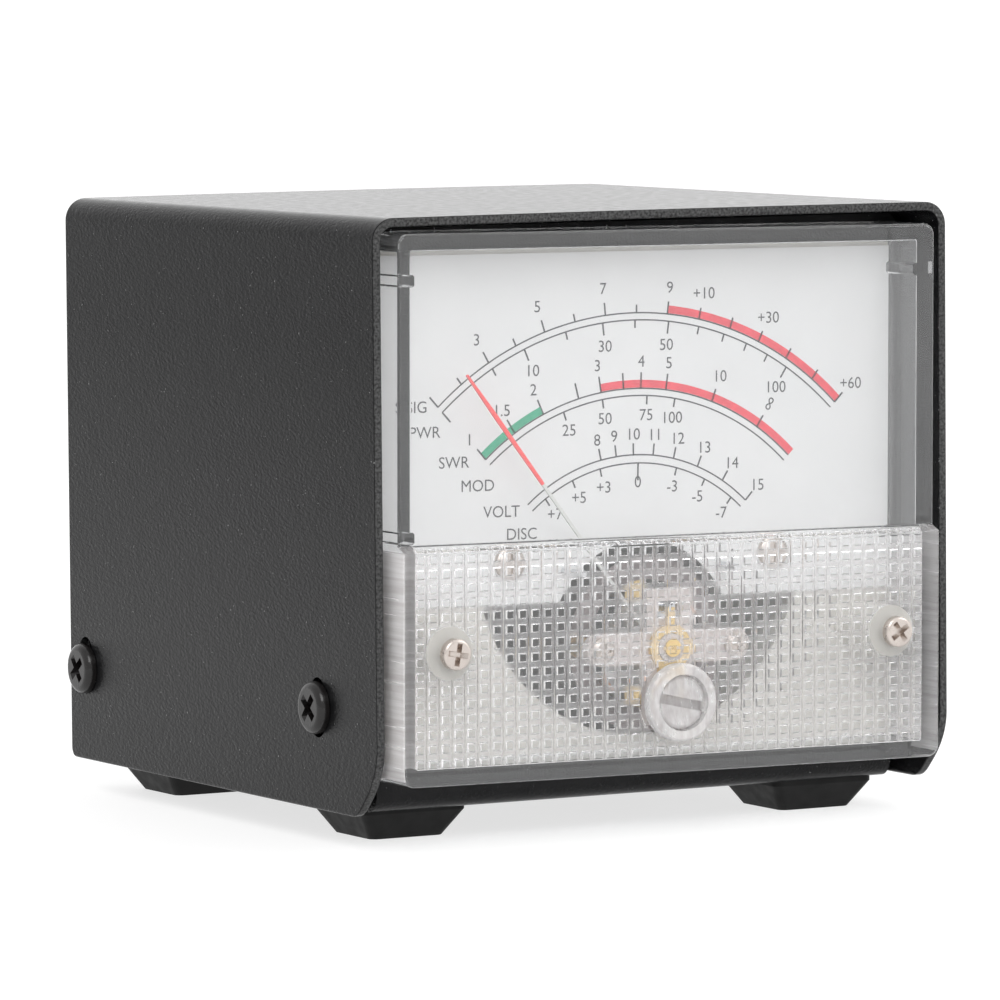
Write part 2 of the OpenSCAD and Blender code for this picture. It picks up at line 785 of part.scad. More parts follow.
// Round white lamps that light the dial from behind
module lamps() {
    color(white) tilted() for (x = [-4.2, 4.2]) {
        rod_y(1.9, board_y - 1, 1, x, lamp_z + 1);
        rod_y(1.5, board_y - 3, 2 + eps, x, lamp_z + 1);
        translate([x, board_y - 3, lamp_z + 1]) sphere(r = 1.5, $fn = round_fn);
    }
}

module lamp_resistor() {
    color([0.75, 0.68, 0.52]) tilted()
        translate([-3, board_y - 1, lamp_z - 2.8]) rotate([0, 90, 0]) cylinder(r = 1, h = 6, $fn = fine_fn);
}

// The 3.5 mm signal jack
module meter_jack() {
    color(plastic_black) difference() {
        union() {
            block(jack_body[0], jack_body[1], jack_body[2], jack_x, rear_inner_y - jack_body[1], rear_z);
            rod_y(jack_r, rear_inner_y - eps, sheet + jack_out, jack_x, rear_z);
            for (dx = [-3, 3])
                block(1.6, 5, 0.4, jack_x + dx, rear_inner_y - jack_body[1] - 4, rear_z);
        }
        rod_y(jack_bore, rear_inner_y - jack_body[1] + 2, 30, jack_x, rear_z);
    }
}

module meter_jack_nut() {
    color(steel) difference() {
        rod_y(4, rear_panel_y, 1.8, jack_x, rear_z);
        rod_y(jack_r, rear_panel_y - 1, 4, jack_x, rear_z);
        for (turn = [0, 90])
            translate([jack_x, 0, rear_z]) rotate([0, turn, 0])
                block(12, 1, 0.9, 0, rear_panel_y + 1.1, 0);
    }
}

// The barrel jack that feeds the dial lamps
module power_jack() {
    color(plastic_black) difference() {
        union() {
            rod_y(5.4, rear_inner_y - power_len, power_len, power_x, rear_z);
            rod_y(power_r, rear_inner_y - eps, sheet + power_out, power_x, rear_z);
            for (dx = [-2.5, 2.5])
                block(1.8, 5, 0.4, power_x + dx, rear_inner_y - power_len - 4, rear_z);
        }
        rod_y(power_bore, rear_inner_y - power_len + 2, 30, power_x, rear_z);
    }
}

module power_jack_pin() {
    pin_y = rear_inner_y - power_len + 2;
    color(nickel) rod_y(power_pin, pin_y, rear_panel_y + 2 - pin_y, power_x, rear_z);
}

module power_jack_nut() {
    color(steel) hex_nut(10.5, power_r, rear_panel_y, 2, power_x, rear_z);
}

// The level control: body, threaded bushing and three lugs
module level_control() {
    color(dark_steel) difference() {
        union() {
            rod_y(level_body_r, rear_inner_y - level_body_len, level_body_len, 0, rear_z);
            rod_y(bushing_r, rear_inner_y - eps, sheet + bushing_out, 0, rear_z);
            for (x = [-4, 0, 4])
                block(1.8, 0.5, 6, x, rear_inner_y - level_body_len + 2, rear_z - level_body_r - 1.5);
        }
        rod_y(shaft_r + shaft_gap, rear_inner_y - level_body_len + 2, 30, 0, rear_z);
    }
}

module level_control_nut() {
    color(steel) hex_nut(10, bushing_r, rear_panel_y, 2, 0, rear_z);
}

module level_shaft() {
    shaft_y = rear_inner_y - level_body_len + 2.1;
    color(nickel) difference() {
        rod_y(shaft_r, shaft_y, rear_panel_y + shaft_out - shaft_y, 0, rear_z);
        block(8, 2, 0.9, 0, rear_panel_y + shaft_out - 1, rear_z);
    }
}

// ---------- wires ----------

// Points along a smooth curve through the middle of each leg of a route
function bend(a, b, c, t) = (1 - t) * (1 - t) * a + 2 * t * (1 - t) * b + t * t * c;
function mid(a, b) = (a + b) / 2;
function leg_start(route, i) = i == 0 ? route[0] : mid(route[i], route[i + 1]);
function leg_end(route, i) = i == len(route) - 3 ? route[i + 2] : mid(route[i + 1], route[i + 2]);
function along(route, t) = let (legs = len(route) - 2, i = min(floor(t * legs), legs - 1))
    bend(leg_start(route, i), route[i + 1], leg_end(route, i), t * legs - i);
function unit(v) = v / norm(v);
function ring(centre, ahead) = let (side = unit(cross(ahead, [0.1, 0.1, 1])), up = cross(side, ahead))
    [for (k = [0:wire_sides - 1]) let (a = 360 * k / wire_sides)
        centre + wire_r * (cos(a) * side + sin(a) * up)];

// A round wire swept along a route
module wire(route, shade) {
    rings = [for (i = [0:wire_rings]) let (t = i / wire_rings,
                ahead = unit(along(route, min(t + 0.01, 1)) - along(route, max(t - 0.01, 0))))
            ring(along(route, t), ahead)];
    points = [for (r = rings) for (p = r) p];
    sides = [for (i = [0:wire_rings - 1], k = [0:wire_sides - 1])
                let (n = (k + 1) % wire_sides, here = i * wire_sides, next = here + wire_sides)
                each [[here + k, here + n, next + n], [here + k, next + n, next + k]]];
    start_cap = [[for (k = [wire_sides - 1:-1:0]) k]];
    end_cap = [[for (k = [0:wire_sides - 1]) wire_rings * wire_sides + k]];
    color(shade) polyhedron(points = points, faces = concat(start_cap, sides, end_cap), convexity = 6);
}

lug_back = lug_y + 0.6;
jack_lug_y = rear_inner_y - jack_body[1] - 4;
power_lug_y = rear_inner_y - power_len - 4;
level_lug_y = rear_inner_y - level_body_len + 2;
level_lug_z = rear_z - level_body_r - 3.5;

// From the signal jack to the level control
module signal_wire() {
    wire([[jack_x - 3, jack_lug_y, rear_z], [jack_x - 3, 13, rear_z], [16, 5, 21], [8, 8, 12],
          [4, 20, level_lug_z - 3], [4, level_lug_y - 4, level_lug_z], [4, level_lug_y, level_lug_z]], red);
}

// From the level control to the meter's positive terminal
module level_wire() {
    wire([[0, level_lug_y, level_lug_z], [0, level_lug_y - 8, level_lug_z], [1, 10, 15], [8, 0, 13],
          [14.6, -3, 18], [14.6, lug_back + 4, 25.6], [14.6, lug_back, 25.6]], yellow);
}

// From the signal jack to the meter's negative terminal
module ground_wire() {
    wire([[jack_x + 3, jack_lug_y, rear_z], [jack_x + 3, 12, rear_z], [19, 3, 40], [-2, -2, 44],
          [-15.4, 2, 38], [-15.4, lug_back + 5, 25.6], [-15.4, lug_back, 25.6]], plastic_black);
}

// One of the pair from the power jack to the lamp board
module lamp_wire(side, shade) {
    wire([[power_x + side * 2.5, power_lug_y, rear_z], [power_x + side * 2.5, 13, rear_z],
          [-16, 6, 36 + side * 1.6], [-6, 0, wire_hole_z + side * 1.4],
          [-meter_offset, -6, wire_hole_z + side * 0.8], [-meter_offset, floor_y - 1, wire_hole_z + side * 0.8],
          [side * 2.6 - meter_offset, floor_y - 5, lamp_z - 2.6],
          [side * 2.6 - meter_offset, board_y + board_t, lamp_z - 2.6]], shade);
}

module lamp_feed_wire() { lamp_wire(1, red); }
module lamp_return_wire() { lamp_wire(-1, plastic_black); }

// ---------- drawing ----------

cover();
chassis();
cover_screws();
foot_front_left();
foot_front_right();
foot_rear_left();
foot_rear_right();
meter_base();
meter_washers();
meter_nuts();
lens();
lens_screws();
dial_plate();
dial_screws();
pointer_stops();
movement_frame();
movement_screws();
yoke_ring();
core_magnet();
core_brackets();
bridge_posts();
front_bridge();
bridge_screws();
front_jewel_screw();
rear_jewel_screw();
zero_adjuster();
zero_lever();
front_hairspring();
rear_hairspring();
coil_former();
coil_winding();
coil_pivots();
pointer();
balance_weights();
terminal_studs();
terminal_nuts();
terminal_lugs();
light_board();
light_board_screws();
lamps();
lamp_resistor();
meter_jack();
meter_jack_nut();
power_jack();
power_jack_pin();
power_jack_nut();
level_control();
level_control_nut();
level_shaft();
signal_wire();
level_wire();
ground_wire();
lamp_feed_wire();
lamp_return_wire();
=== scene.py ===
import json
import math

import bmesh
import bpy
from mathutils import Matrix, Vector


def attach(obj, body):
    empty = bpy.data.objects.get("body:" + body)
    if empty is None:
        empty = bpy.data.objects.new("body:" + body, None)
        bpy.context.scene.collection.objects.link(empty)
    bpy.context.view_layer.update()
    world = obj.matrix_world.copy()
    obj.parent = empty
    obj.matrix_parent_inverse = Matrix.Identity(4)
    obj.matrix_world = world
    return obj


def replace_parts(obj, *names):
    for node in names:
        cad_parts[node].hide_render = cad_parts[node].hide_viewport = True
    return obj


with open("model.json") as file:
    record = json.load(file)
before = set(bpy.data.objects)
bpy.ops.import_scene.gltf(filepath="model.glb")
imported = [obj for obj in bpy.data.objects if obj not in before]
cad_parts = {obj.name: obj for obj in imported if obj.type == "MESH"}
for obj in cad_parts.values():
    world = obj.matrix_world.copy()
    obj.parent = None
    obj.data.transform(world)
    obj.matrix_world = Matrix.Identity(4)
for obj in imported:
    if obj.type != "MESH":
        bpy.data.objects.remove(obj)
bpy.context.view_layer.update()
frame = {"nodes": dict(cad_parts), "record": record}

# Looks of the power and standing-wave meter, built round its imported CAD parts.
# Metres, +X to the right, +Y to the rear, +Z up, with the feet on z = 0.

MM = 0.001
NODES = frame["nodes"]
SLOT_OF = {part["node"]: part["material_slot"] for part in frame["record"]["subparts"]}


# ---------- sizes, in millimetres, as in the CAD ----------

BASE, TOP = 3.6, 69.6           # lower and upper level of the cover
COVER_HALF = 36.8
FRONT = -38.4
SHEET = 1.0
COVER_BEND = 2.6
CHAMFER = 5.0
CROWN = 0.08                    # rise of the top between the bends
EDGE_ROUND = 0.2

SIDE_SCREWS = ((-24.5, 15.0), (34.2, 14.4))     # (y, z) of the screws in each side
SLOT_W, SLOT_H = 3.4, 6.7
SLOT_RISE = (0, 0.35)           # each slot's middle above its screw

LENS_W, LENS_H, LENS_Z = 68.8, 60.4, 7.1
LENS_CORNER = 1.3
LENS_WALL, LENS_SIDE = 1.5, 1.8
LENS_Y, WINDOW_Y, LENS_BACK = -41.4, -40.0, -31.6
STEP_Z, STEP_RUN = 32.7, 0.8
LENS_SCREW_X, LENS_SCREW_Z = 28.4, 21.6
RIB_Z, LOW_RIB_Z = 62.3, 34.2
LENS_BOSS_R, LENS_HOLE_R = 3, 1.1
RING_R, RING_OUT = 4.35, 1.3
WELL_R, WELL_DEPTH = 3.15, 0.5  # the ring's inside, where the adjuster's head sits
HEAD_R, STEM_R = 3.0, 1.7       # of the zero adjuster
ZERO_Z, PIN_THROW = 15.0, 1.2
WAFFLE = 1.6                    # pitch of the moulded pattern
PIT, LAND, PIT_DEPTH = 0.76, 0.56, 0.25
BEAD, BEAD_H = 0.14, 0.08       # fine upright bead between the columns

CLEAR = 2                       # how far a cut starts and ends outside its part

BRIDGE_Y = -38.7
POINTER_Y = -35.7
DIAL_Y = -32.6
LETTER = 1.84

PIVOT = Vector((-0.45 * MM, 0, 20.9 * MM))
METER_TILT = math.radians(0.55)
METER = (Matrix.Translation(PIVOT) @ Matrix.Rotation(METER_TILT, 4, "Y")
         @ Matrix.Translation((0, 0, -PIVOT.z)))
UPRIGHT = Matrix()


# ---------- materials ----------

class Shader:
    """A material under construction: a principled surface with helpers for procedural detail."""

    def __init__(self, name):
        self.material = bpy.data.materials.new(name)
        self.material.use_nodes = True
        self.tree = self.material.node_tree
        self.surface = self.tree.nodes["Principled BSDF"]
        self.output = self.tree.nodes["Material Output"]
        self.place = self.add("ShaderNodeTexCoord").outputs["Object"]

    def add(self, kind, **settings):
        node = self.tree.nodes.new(kind)
        for key, value in settings.items():
            setattr(node, key, value)
        return node

    def link(self, source, target):
        self.tree.links.new(source, target)

    def set(self, **values):
        for key, value in values.items():
            socket = self.surface.inputs[key.replace("_", " ").title().replace("Ior", "IOR")]
            socket.default_value = (*value, 1) if isinstance(value, tuple) else value

    def noise(self, size, detail=3.0, stretch=(1, 1, 1)):
        """Noise whose features are about size metres across."""
        place = self.place
        if stretch != (1, 1, 1):
            mapping = self.add("ShaderNodeMapping")
            mapping.inputs["Scale"].default_value = stretch
            self.link(place, mapping.inputs["Vector"])
            place = mapping.outputs["Vector"]
        node = self.add("ShaderNodeTexNoise")
        node.inputs["Scale"].default_value = 1 / size
        node.inputs["Detail"].default_value = detail
        self.link(place, node.inputs["Vector"])
        return node.outputs["Fac"]

    def spread(self, fac, low, high, start=0.3, end=0.7):
        """Maps a factor onto a range of values."""
        node = self.add("ShaderNodeMapRange")
        node.inputs["From Min"].default_value = start
        node.inputs["From Max"].default_value = end
        node.inputs["To Min"].default_value = low
        node.inputs["To Max"].default_value = high
        self.link(fac, node.inputs["Value"])
        return node.outputs["Result"]

    def ramp(self, fac, *stops):
        """A colour ramp through (position, colour) stops."""
        node = self.add("ShaderNodeValToRGB")
        elements = node.color_ramp.elements
        while len(elements) < len(stops):
            elements.new(0.5)
        for element, (position, colour) in zip(elements, stops):
            element.position = position
            element.color = (*colour, 1)
        self.link(fac, node.inputs["Fac"])
        return node.outputs["Color"]

    def blend(self, fac, under, over):
        """One colour over another by a factor; over may be a plain colour."""
        node = self.add("ShaderNodeMix", data_type="RGBA")
        self.link(fac, node.inputs["Factor"])
        self.link(under, node.inputs["A"])
        if isinstance(over, tuple):
            node.inputs["B"].default_value = (*over, 1)
        else:
            self.link(over, node.inputs["B"])
        return node.outputs["Result"]

    def colour(self, socket):
        self.link(socket, self.surface.inputs["Base Color"])

    def roughness(self, socket):
        self.link(socket, self.surface.inputs["Roughness"])

    def bump(self, height, distance, strength=1.0, under=None):
        """Adds a bump of that depth in metres; under is the normal output of an earlier bump."""
        node = self.add("ShaderNodeBump")
        node.inputs["Distance"].default_value = distance
        node.inputs["Strength"].default_value = strength
        self.link(height, node.inputs["Height"])
        if under is not None:
            self.link(under, node.inputs["Normal"])
        self.link(node.outputs["Normal"], self.surface.inputs["Normal"])
        return node.outputs["Normal"]


def tints(colour, change):
    """The colour made darker and lighter by a share of itself."""
    return tuple(c * (1 - change) for c in colour), tuple(min(1, c * (1 + change)) for c in colour)


def worn(name, colour, rough, change=0.06, rough_change=0.08, cloud=4 * MM, grain=0.2 * MM,
         depth=0.004 * MM, stretch=(1, 1, 1), **settings):
    """A plain finish with uneven colour, uneven gloss and a fine grain."""
    shader = Shader(name)
    shader.set(**settings)
    dark, light = tints(colour, change)
    shader.colour(shader.ramp(shader.noise(cloud), (0.3, dark), (0.7, light)))
    gloss_and_painted_sheen = shader.noise(cloud * 0.4, 5)
    shader.roughness(shader.spread(gloss_and_painted_sheen, rough - rough_change, rough + rough_change))
    shader.bump(shader.noise(grain, 2, stretch), depth)
    return shader


def powder_coat(name, pale_edge):
    """Fine leathery paint, smoother on the top, with a few dust specks, paler on a cut front edge, and a
    painted sheen that makes the lower sides more specular than the upper ones.
    """
    shader = Shader(name)
    facing = shader.add("ShaderNodeSeparateXYZ")
    shader.link(shader.add("ShaderNodeNewGeometry").outputs["Normal"], facing.inputs["Vector"])
    skin = shader.ramp(shader.noise(2.5 * MM, 5),
                       (0.3, (0.0045, 0.0045, 0.005)), (0.7, (0.0075, 0.0075, 0.008)))
    edge = shader.ramp(shader.noise(0.3 * MM, 2), (0.35, (0.03, 0.03, 0.03)), (0.7, (0.12, 0.12, 0.12)))
    on_edge = shader.spread(facing.outputs["Y"], pale_edge, 0, -0.9, -0.5)
    dust = shader.spread(shader.noise(0.3 * MM, 1), 0, 1, 0.77, 0.80)
    shader.colour(shader.blend(dust, shader.blend(on_edge, skin, edge), (0.22, 0.22, 0.22)))
    shader.roughness(shader.spread(shader.noise(1.2 * MM, 4), 0.20, 0.26))
    level = shader.add("ShaderNodeSeparateXYZ")
    shader.link(shader.place, level.inputs["Vector"])
    # Painted sheen: the specular level falls with height, so the sides read lighter low down and darker near
    # the top.
    gloss_and_painted_sheen = shader.spread(level.outputs["Z"], 0.155, 0.085, 18 * MM, 56 * MM)
    shader.link(gloss_and_painted_sheen, shader.surface.inputs["Specular IOR Level"])
    relief = shader.spread(facing.outputs["Z"], 1.0, 0.16, 0.6, 0.95)
    grain = shader.bump(shader.noise(0.3 * MM, 3, (1, 0.55, 1)), 0.085 * MM)
    shader.link(relief, grain.node.inputs["Strength"])
    return shader.material


def rubber():
    shader = worn("rubber", (0.005, 0.005, 0.005), 0.55, grain=0.15 * MM, depth=0.01 * MM,
                  specular_ior_level=0.2)
    return shader.material


def black_oxide():
    shader = worn("black_oxide", (0.007, 0.006, 0.006), 0.17, change=0.3, rough_change=0.06, cloud=1.5 * MM,
                  grain=0.3 * MM, depth=0.02 * MM, specular_ior_level=0.45)
    return shader.material


def metal(name, colour, rough, **more):
    return worn(name, colour, rough, metallic=1.0, cloud=2 * MM, grain=0.08 * MM, **more).material


def moulded(name, colour, rough, **more):
    return worn(name, colour, rough, grain=0.25 * MM, depth=0.003 * MM, **more).material


def clear_plastic():
    """Polished acrylic that lets lamp light through to the dial."""
    shader = Shader("clear_plastic")
    shader.set(transmission_weight=0.975, ior=1.49)
    shader.colour(shader.ramp(shader.noise(12 * MM),
                              (0.3, (0.975, 0.98, 0.985)), (0.7, (0.99, 0.992, 0.995))))
    shader.roughness(shader.spread(shader.noise(7 * MM, 5), 0.0, 0.02))
    shader.bump(shader.noise(5 * MM, 2), 0.006 * MM)
    light_path = shader.add("ShaderNodeLightPath")
    through = shader.add("ShaderNodeBsdfTransparent")
    through.inputs["Color"].default_value = (0.93, 0.94, 0.945, 1)
    mix = shader.add("ShaderNodeMixShader")
    shader.link(light_path.outputs["Is Shadow Ray"], mix.inputs["Fac"])
    shader.link(shader.surface.outputs["BSDF"], mix.inputs[1])
    shader.link(through.outputs["BSDF"], mix.inputs[2])
    shader.link(mix.outputs["Shader"], shader.output.inputs["Surface"])
    return shader.material


def frosted_plastic(name, stretch, size, clearness, relief):
    """Scuffed, cloudy acrylic with streaks of that depth; clearness is the share of light let through."""
    shader = Shader(name)
    shader.set(transmission_weight=clearness, ior=1.49)
    streaks = shader.noise(size, 4, stretch)
    shader.colour(shader.ramp(streaks, (0.35, (0.74, 0.71, 0.71)), (0.6, (0.93, 0.92, 0.92))))
    shader.roughness(shader.spread(streaks, 0.12, 0.3))
    shader.bump(streaks, relief)
    return shader.material


def pointer_paint():
    """Bare light stem near the axis, fluorescent red-orange towards the tip."""
    shader = Shader("pointer_paint")
    distance = shader.add("ShaderNodeVectorMath", operation="DISTANCE")
    distance.inputs[1].default_value = (PIVOT.x, POINTER_Y * MM, PIVOT.z)
    shader.link(shader.place, distance.inputs[0])
    painted = shader.spread(distance.outputs["Value"], 0, 1, 23.3 * MM, 23.5 * MM)
    shader.colour(shader.ramp(painted, (0.4, (0.62, 0.62, 0.60)), (0.6, (0.90, 0.07, 0.075))))
    shader.roughness(shader.spread(shader.noise(1 * MM), 0.4, 0.55))
    shader.bump(shader.noise(0.1 * MM), 0.004 * MM)
    return shader.material


def print_ink(name, colour):
    return worn(name, colour, 0.5, change=0.12, cloud=0.8 * MM, grain=0.08 * MM, depth=0.001 * MM).material


def coil_wire():
    """Enamelled copper turns, seen as fine parallel lines."""
    shader = Shader("coil_wire")
    shader.set(metallic=1.0)
    turns = shader.noise(0.14 * MM, 1, (1, 0.02, 1))
    shader.colour(shader.ramp(turns, (0.35, (0.42, 0.15, 0.06)), (0.65, (0.85, 0.42, 0.20))))
    shader.roughness(shader.spread(turns, 0.25, 0.4))
    shader.bump(turns, 0.03 * MM)
    return shader.material


# ---------- geometry helpers ----------

def tilt_all(points):
    """Turns points given in millimetres with the meter, and returns them in metres."""
    return [METER @ (Vector(p) * MM) for p in points]


def piece(name, points, faces, material, body, sharp=32):
    """A shown mesh that rides a body. Points are in metres."""
    mesh = bpy.data.meshes.new(name)
    mesh.from_pydata([tuple(p) for p in points], [], faces)
    return dress(bpy.data.objects.new(name, mesh), material, body, sharp)


def dress(obj, material, body, sharp=32):
    """Links an object, smooths it up to the sharp angle, and gives it its material and body."""
    bpy.context.scene.collection.objects.link(obj)
    shape = bmesh.new()
    shape.from_mesh(obj.data)
    bmesh.ops.remove_doubles(shape, verts=shape.verts, dist=1e-7)
    bmesh.ops.recalc_face_normals(shape, faces=shape.faces)
    shape.to_mesh(obj.data)
    shape.free()
    obj.data.shade_smooth()
    obj.data.set_sharp_from_angle(angle=math.radians(sharp))
    obj.data.materials.clear()
    obj.data.materials.append(material)
    even = obj.modifiers.new("even_shading", "WEIGHTED_NORMAL")
    even.keep_sharp = True
    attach(obj, body)
    return obj


def loop_faces(rows, size, closed_rows=False):
    """Quads between successive closed loops of size points each."""
    faces = []
    for row in range(rows - (0 if closed_rows else 1)):
        here, above = row * size, (row + 1) % rows * size
        for k in range(size):
            after = (k + 1) % size
            faces.append((here + k, here + after, above + after, above + k))
    return faces


def smooth_max(a, b, width):
    """The larger of two values, with a rounded change-over."""
    share = max(width - abs(a - b), 0) / width
    return max(a, b) + share * share * width / 4


def round_corner(height, radius):
    """How far a rounded corner has drawn back at a height above the edge."""
    if height >= radius:
        return 0
    return radius - math.sqrt(radius ** 2 - (radius - height) ** 2)


def turned(outline, x=0, z=0, sides=64):
    """A closed solid turned about a line along Y; outline is (radius, y) from front to rear."""
    points, faces = [], []
    for radius, y in outline:
        for k in range(sides):
            a = 2 * math.pi * k / sides
            points.append((x + radius * math.cos(a), y, z + radius * math.sin(a)))
    faces += loop_faces(len(outline), sides)
    faces.append(tuple(range(sides)))
    faces.append(tuple(range((len(outline) - 1) * sides, len(outline) * sides)))
    return points, faces


def box_solid(low, high):
    points = [(x, y, z) for x in (low[0], high[0]) for y in (low[1], high[1]) for z in (low[2], high[2])]
    return points, [(0, 1, 3, 2), (4, 6, 7, 5), (0, 4, 5, 1), (2, 3, 7, 6), (0, 2, 6, 4), (1, 5, 7, 3)]


def moved(solid, place):
    """The same solid, turned and shifted by a matrix in millimetres."""
    points, faces = solid
    return [place @ Vector(p) for p in points], faces


def raw_object(name, solid, place):
    """An object that is only used to cut or join others. Its points are in millimetres."""
    points, faces = solid
    mesh = bpy.data.meshes.new(name)
    mesh.from_pydata([tuple(place @ (Vector(p) * MM)) for p in points], [], faces)
    shape = bmesh.new()
    shape.from_mesh(mesh)
    bmesh.ops.recalc_face_normals(shape, faces=shape.faces)
    shape.to_mesh(mesh)
    shape.free()
    obj = bpy.data.objects.new(name, mesh)
    bpy.context.scene.collection.objects.link(obj)
    return obj


def combine(name, solid, steps, place):
    """Joins or cuts solids one after another, puts them in place and returns the finished mesh."""
    body = raw_object(name, solid, place)
    tools = []
    for i, (operation, other) in enumerate(steps):
        tool = raw_object(f"{name}_tool_{i}", other, place)
        tools.append(tool)
        modifier = body.modifiers.new(tool.name, "BOOLEAN")
        modifier.operation = operation
        modifier.solver = "EXACT"
        modifier.object = tool
    depsgraph = bpy.context.evaluated_depsgraph_get()
    mesh = bpy.data.meshes.new_from_object(body.evaluated_get(depsgraph))
    mesh.name = name
    for obj in tools + [body]:
        bpy.data.objects.remove(obj)
    return mesh


def repeated(name, mesh, places):
    """One mesh made of a copy of another at each place."""
    shape = bmesh.new()
    for place in places:
        start = len(shape.verts)
        shape.from_mesh(mesh)
        shape.verts.ensure_lookup_table()
        bmesh.ops.transform(shape, matrix=place, verts=shape.verts[start:])
    whole = bpy.data.meshes.new(name)
    shape.to_mesh(whole)
    shape.free()
    return whole


# ---------- screws ----------

def cross_recess(span, arm, depth, top):
    """A cross whose arms get shorter and narrower with depth, cut from top along +Y."""
    loops = []
    for y, length, width in ((top - 0.5, 1, 1), (top, 1, 1), (top + depth, 0.5, 0.7)):
        reach, half = span / 2 * length, arm / 2 * width
        loop = []
        for k in range(4):
            turn = Matrix.Rotation(math.pi / 2 * k, 3, "Y")
            loop += [turn @ Vector((x, y, z)) for x, z in ((half, half), (reach, half), (reach, -half))]
        loops.append(loop)
    points = [p for loop in loops for p in loop]
    faces = loop_faces(3, 12)
    faces += [tuple(range(12)), tuple(range(24, 36))]
    return points, faces


def pan_screw(name, head, height, edge, shank, length, span, arm):
    """A pan-head cross-recess screw along +Y, with its head's underside at y = 0.

    head and shank are radii, and edge is the radius of the head's rounded rim.
    """
    outline = []
    for k in range(8):
        a = math.pi / 2 * k / 7
        outline.append((head - edge + edge * math.sin(a), -height + edge * (1 - math.cos(a))))
    outline += [(head, -0.08), (head - 0.08, 0), (shank, 0), (shank, length - 0.2), (shank - 0.2, length)]
    recess = cross_recess(span, arm, height * 0.7, -height)
    return combine(name, turned(outline), [("DIFFERENCE", recess)], UPRIGHT)


def build_lens_screws(material):
    screw = pan_screw("lens_screw", head=1.75, height=1.1, edge=0.4, shank=0.8, length=5.4,
                      span=2.5, arm=0.62)
    places = []
    for side, turn in ((-1, 10), (1, 55)):
        spot = Matrix.Translation(Vector((side * LENS_SCREW_X, LENS_Y, LENS_SCREW_Z)) * MM)
        places.append(METER @ spot @ Matrix.Rotation(math.radians(turn), 4, "Y"))
    pair = bpy.data.objects.new("lens_pan_screws", repeated("lens_pan_screws", screw, places))
    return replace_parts(dress(pair, material, "case"), "lens_screws")


def build_side_screws(material):
    screw = pan_screw("side_screw", head=2.95, height=1.3, edge=0.85, shank=1.5, length=4.3,
                      span=3.4, arm=0.95)
    places = []
    for side in (-1, 1):
        inward = Matrix.Rotation(math.radians(90 * side), 4, "Z")
        for (y, z), turn in zip(SIDE_SCREWS, (40, 52)):
            spot = Matrix.Translation(Vector((side * COVER_HALF, y, z)) * MM)
            places.append(spot @ inward @ Matrix.Rotation(math.radians(turn), 4, "Y"))
    screws = bpy.data.objects.new("side_pan_screws", repeated("side_pan_screws", screw, places))
    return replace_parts(dress(screws, material, "case"), "cover_screws")


# ---------- cover ----------

def cover_stations():
    """(x, z, outward angle, trim) up the left half of the folded sheet, from its lower edge to the crown."""
    stations = [(-COVER_HALF, BASE + h, math.pi, trim) for h, trim in ((0, 0.22), (0.07, 0.07), (0.22, 0))]
    stations += [(-COVER_HALF, BASE + 0.4 * k, math.pi, 0) for k in range(1, 21)]
    stations += [(-COVER_HALF, BASE + 10 + 6 * k, math.pi, 0) for k in range(9)]
    centre = (-COVER_HALF + COVER_BEND, TOP - CROWN - COVER_BEND)
    for k in range(13):
        angle = math.pi - math.pi / 2 * k / 12
        stations.append((centre[0] + COVER_BEND * math.cos(angle),
                         centre[1] + COVER_BEND * math.sin(angle), angle, 0))
    for k in range(1, 9):
        x = centre[0] * (1 - k / 8)
        stations.append((x, TOP - CROWN * (x / centre[0]) ** 2, math.pi / 2, 0))
    return stations


def sheet_section(front, rear, trim):
    """(y, depth under the skin) round the cut edge of the sheet, with small round corners."""
    radius = max(EDGE_ROUND - trim, 0.02)
    front, rear, near, far = front + trim, rear - trim, trim, SHEET - trim
    corners = [(front, near, 1, 1), (front, far, 1, -1), (rear, far, -1, -1), (rear, near, -1, 1)]
    section = []
    for i, (y, depth, sy, sd) in enumerate(corners):
        arc = []
        for k in range(5):
            a = math.pi / 2 * k / 4
            arc.append((y + sy * radius * (1 - math.sin(a)), depth + sd * radius * (1 - math.cos(a))))
        section += reversed(arc) if i % 2 else arc
    return section


def side_slot(y, z):
    """An upright slot through both sides, a little longer than a screw's head."""
    radius = SLOT_W / 2
    loops = []
    for x in (-COVER_HALF - 2, COVER_HALF + 2):
        loop = []
        for k in range(32):
            a = 2 * math.pi * (k + 0.5) / 32
            shift = math.copysign((SLOT_H - SLOT_W) / 2, math.sin(a))
            loop.append((x, y + radius * math.cos(a), z + shift + radius * math.sin(a)))
        loops.append(loop)
    points = [p for loop in loops for p in loop]
    faces = loop_faces(2, 32)
    faces += [tuple(range(32)), tuple(range(32, 64))]
    return points, faces


def build_cover(material):
    left = cover_stations()
    right = [(-x, z, math.pi - angle, trim) for x, z, angle, trim in reversed(left[:-1])]
    points = []
    for x, z, angle, trim in left + right:
        height = z - BASE
        front = FRONT + smooth_max(0, CHAMFER - height, 3) + round_corner(height, 1)
        rear = -FRONT - round_corner(height, 1.2)
        for y, depth in sheet_section(front, rear, trim):
            points.append((x - depth * math.cos(angle), y, z - depth * math.sin(angle)))
    size = len(sheet_section(FRONT, -FRONT, 0))
    rows = len(points) // size
    faces = loop_faces(rows, size)
    faces.append(tuple(range(size)))
    faces.append(tuple(range((rows - 1) * size, rows * size)))
    slots = [("DIFFERENCE", side_slot(y, z + rise)) for (y, z), rise in zip(SIDE_SCREWS, SLOT_RISE)]
    mesh = combine("folded_cover", (points, faces), slots, UPRIGHT)
    cover = dress(bpy.data.objects.new("folded_cover", mesh), material, "case")
    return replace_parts(cover, "cover")


# ---------- lens ----------

def step_profile(z, front, window, start, run):
    """Depth of the lens' front at a height, where it steps back to the window."""
    share = min(max((z - start) / run, 0), 1)
    share = share * share * (3 - 2 * share)
    return front + (window - front) * share


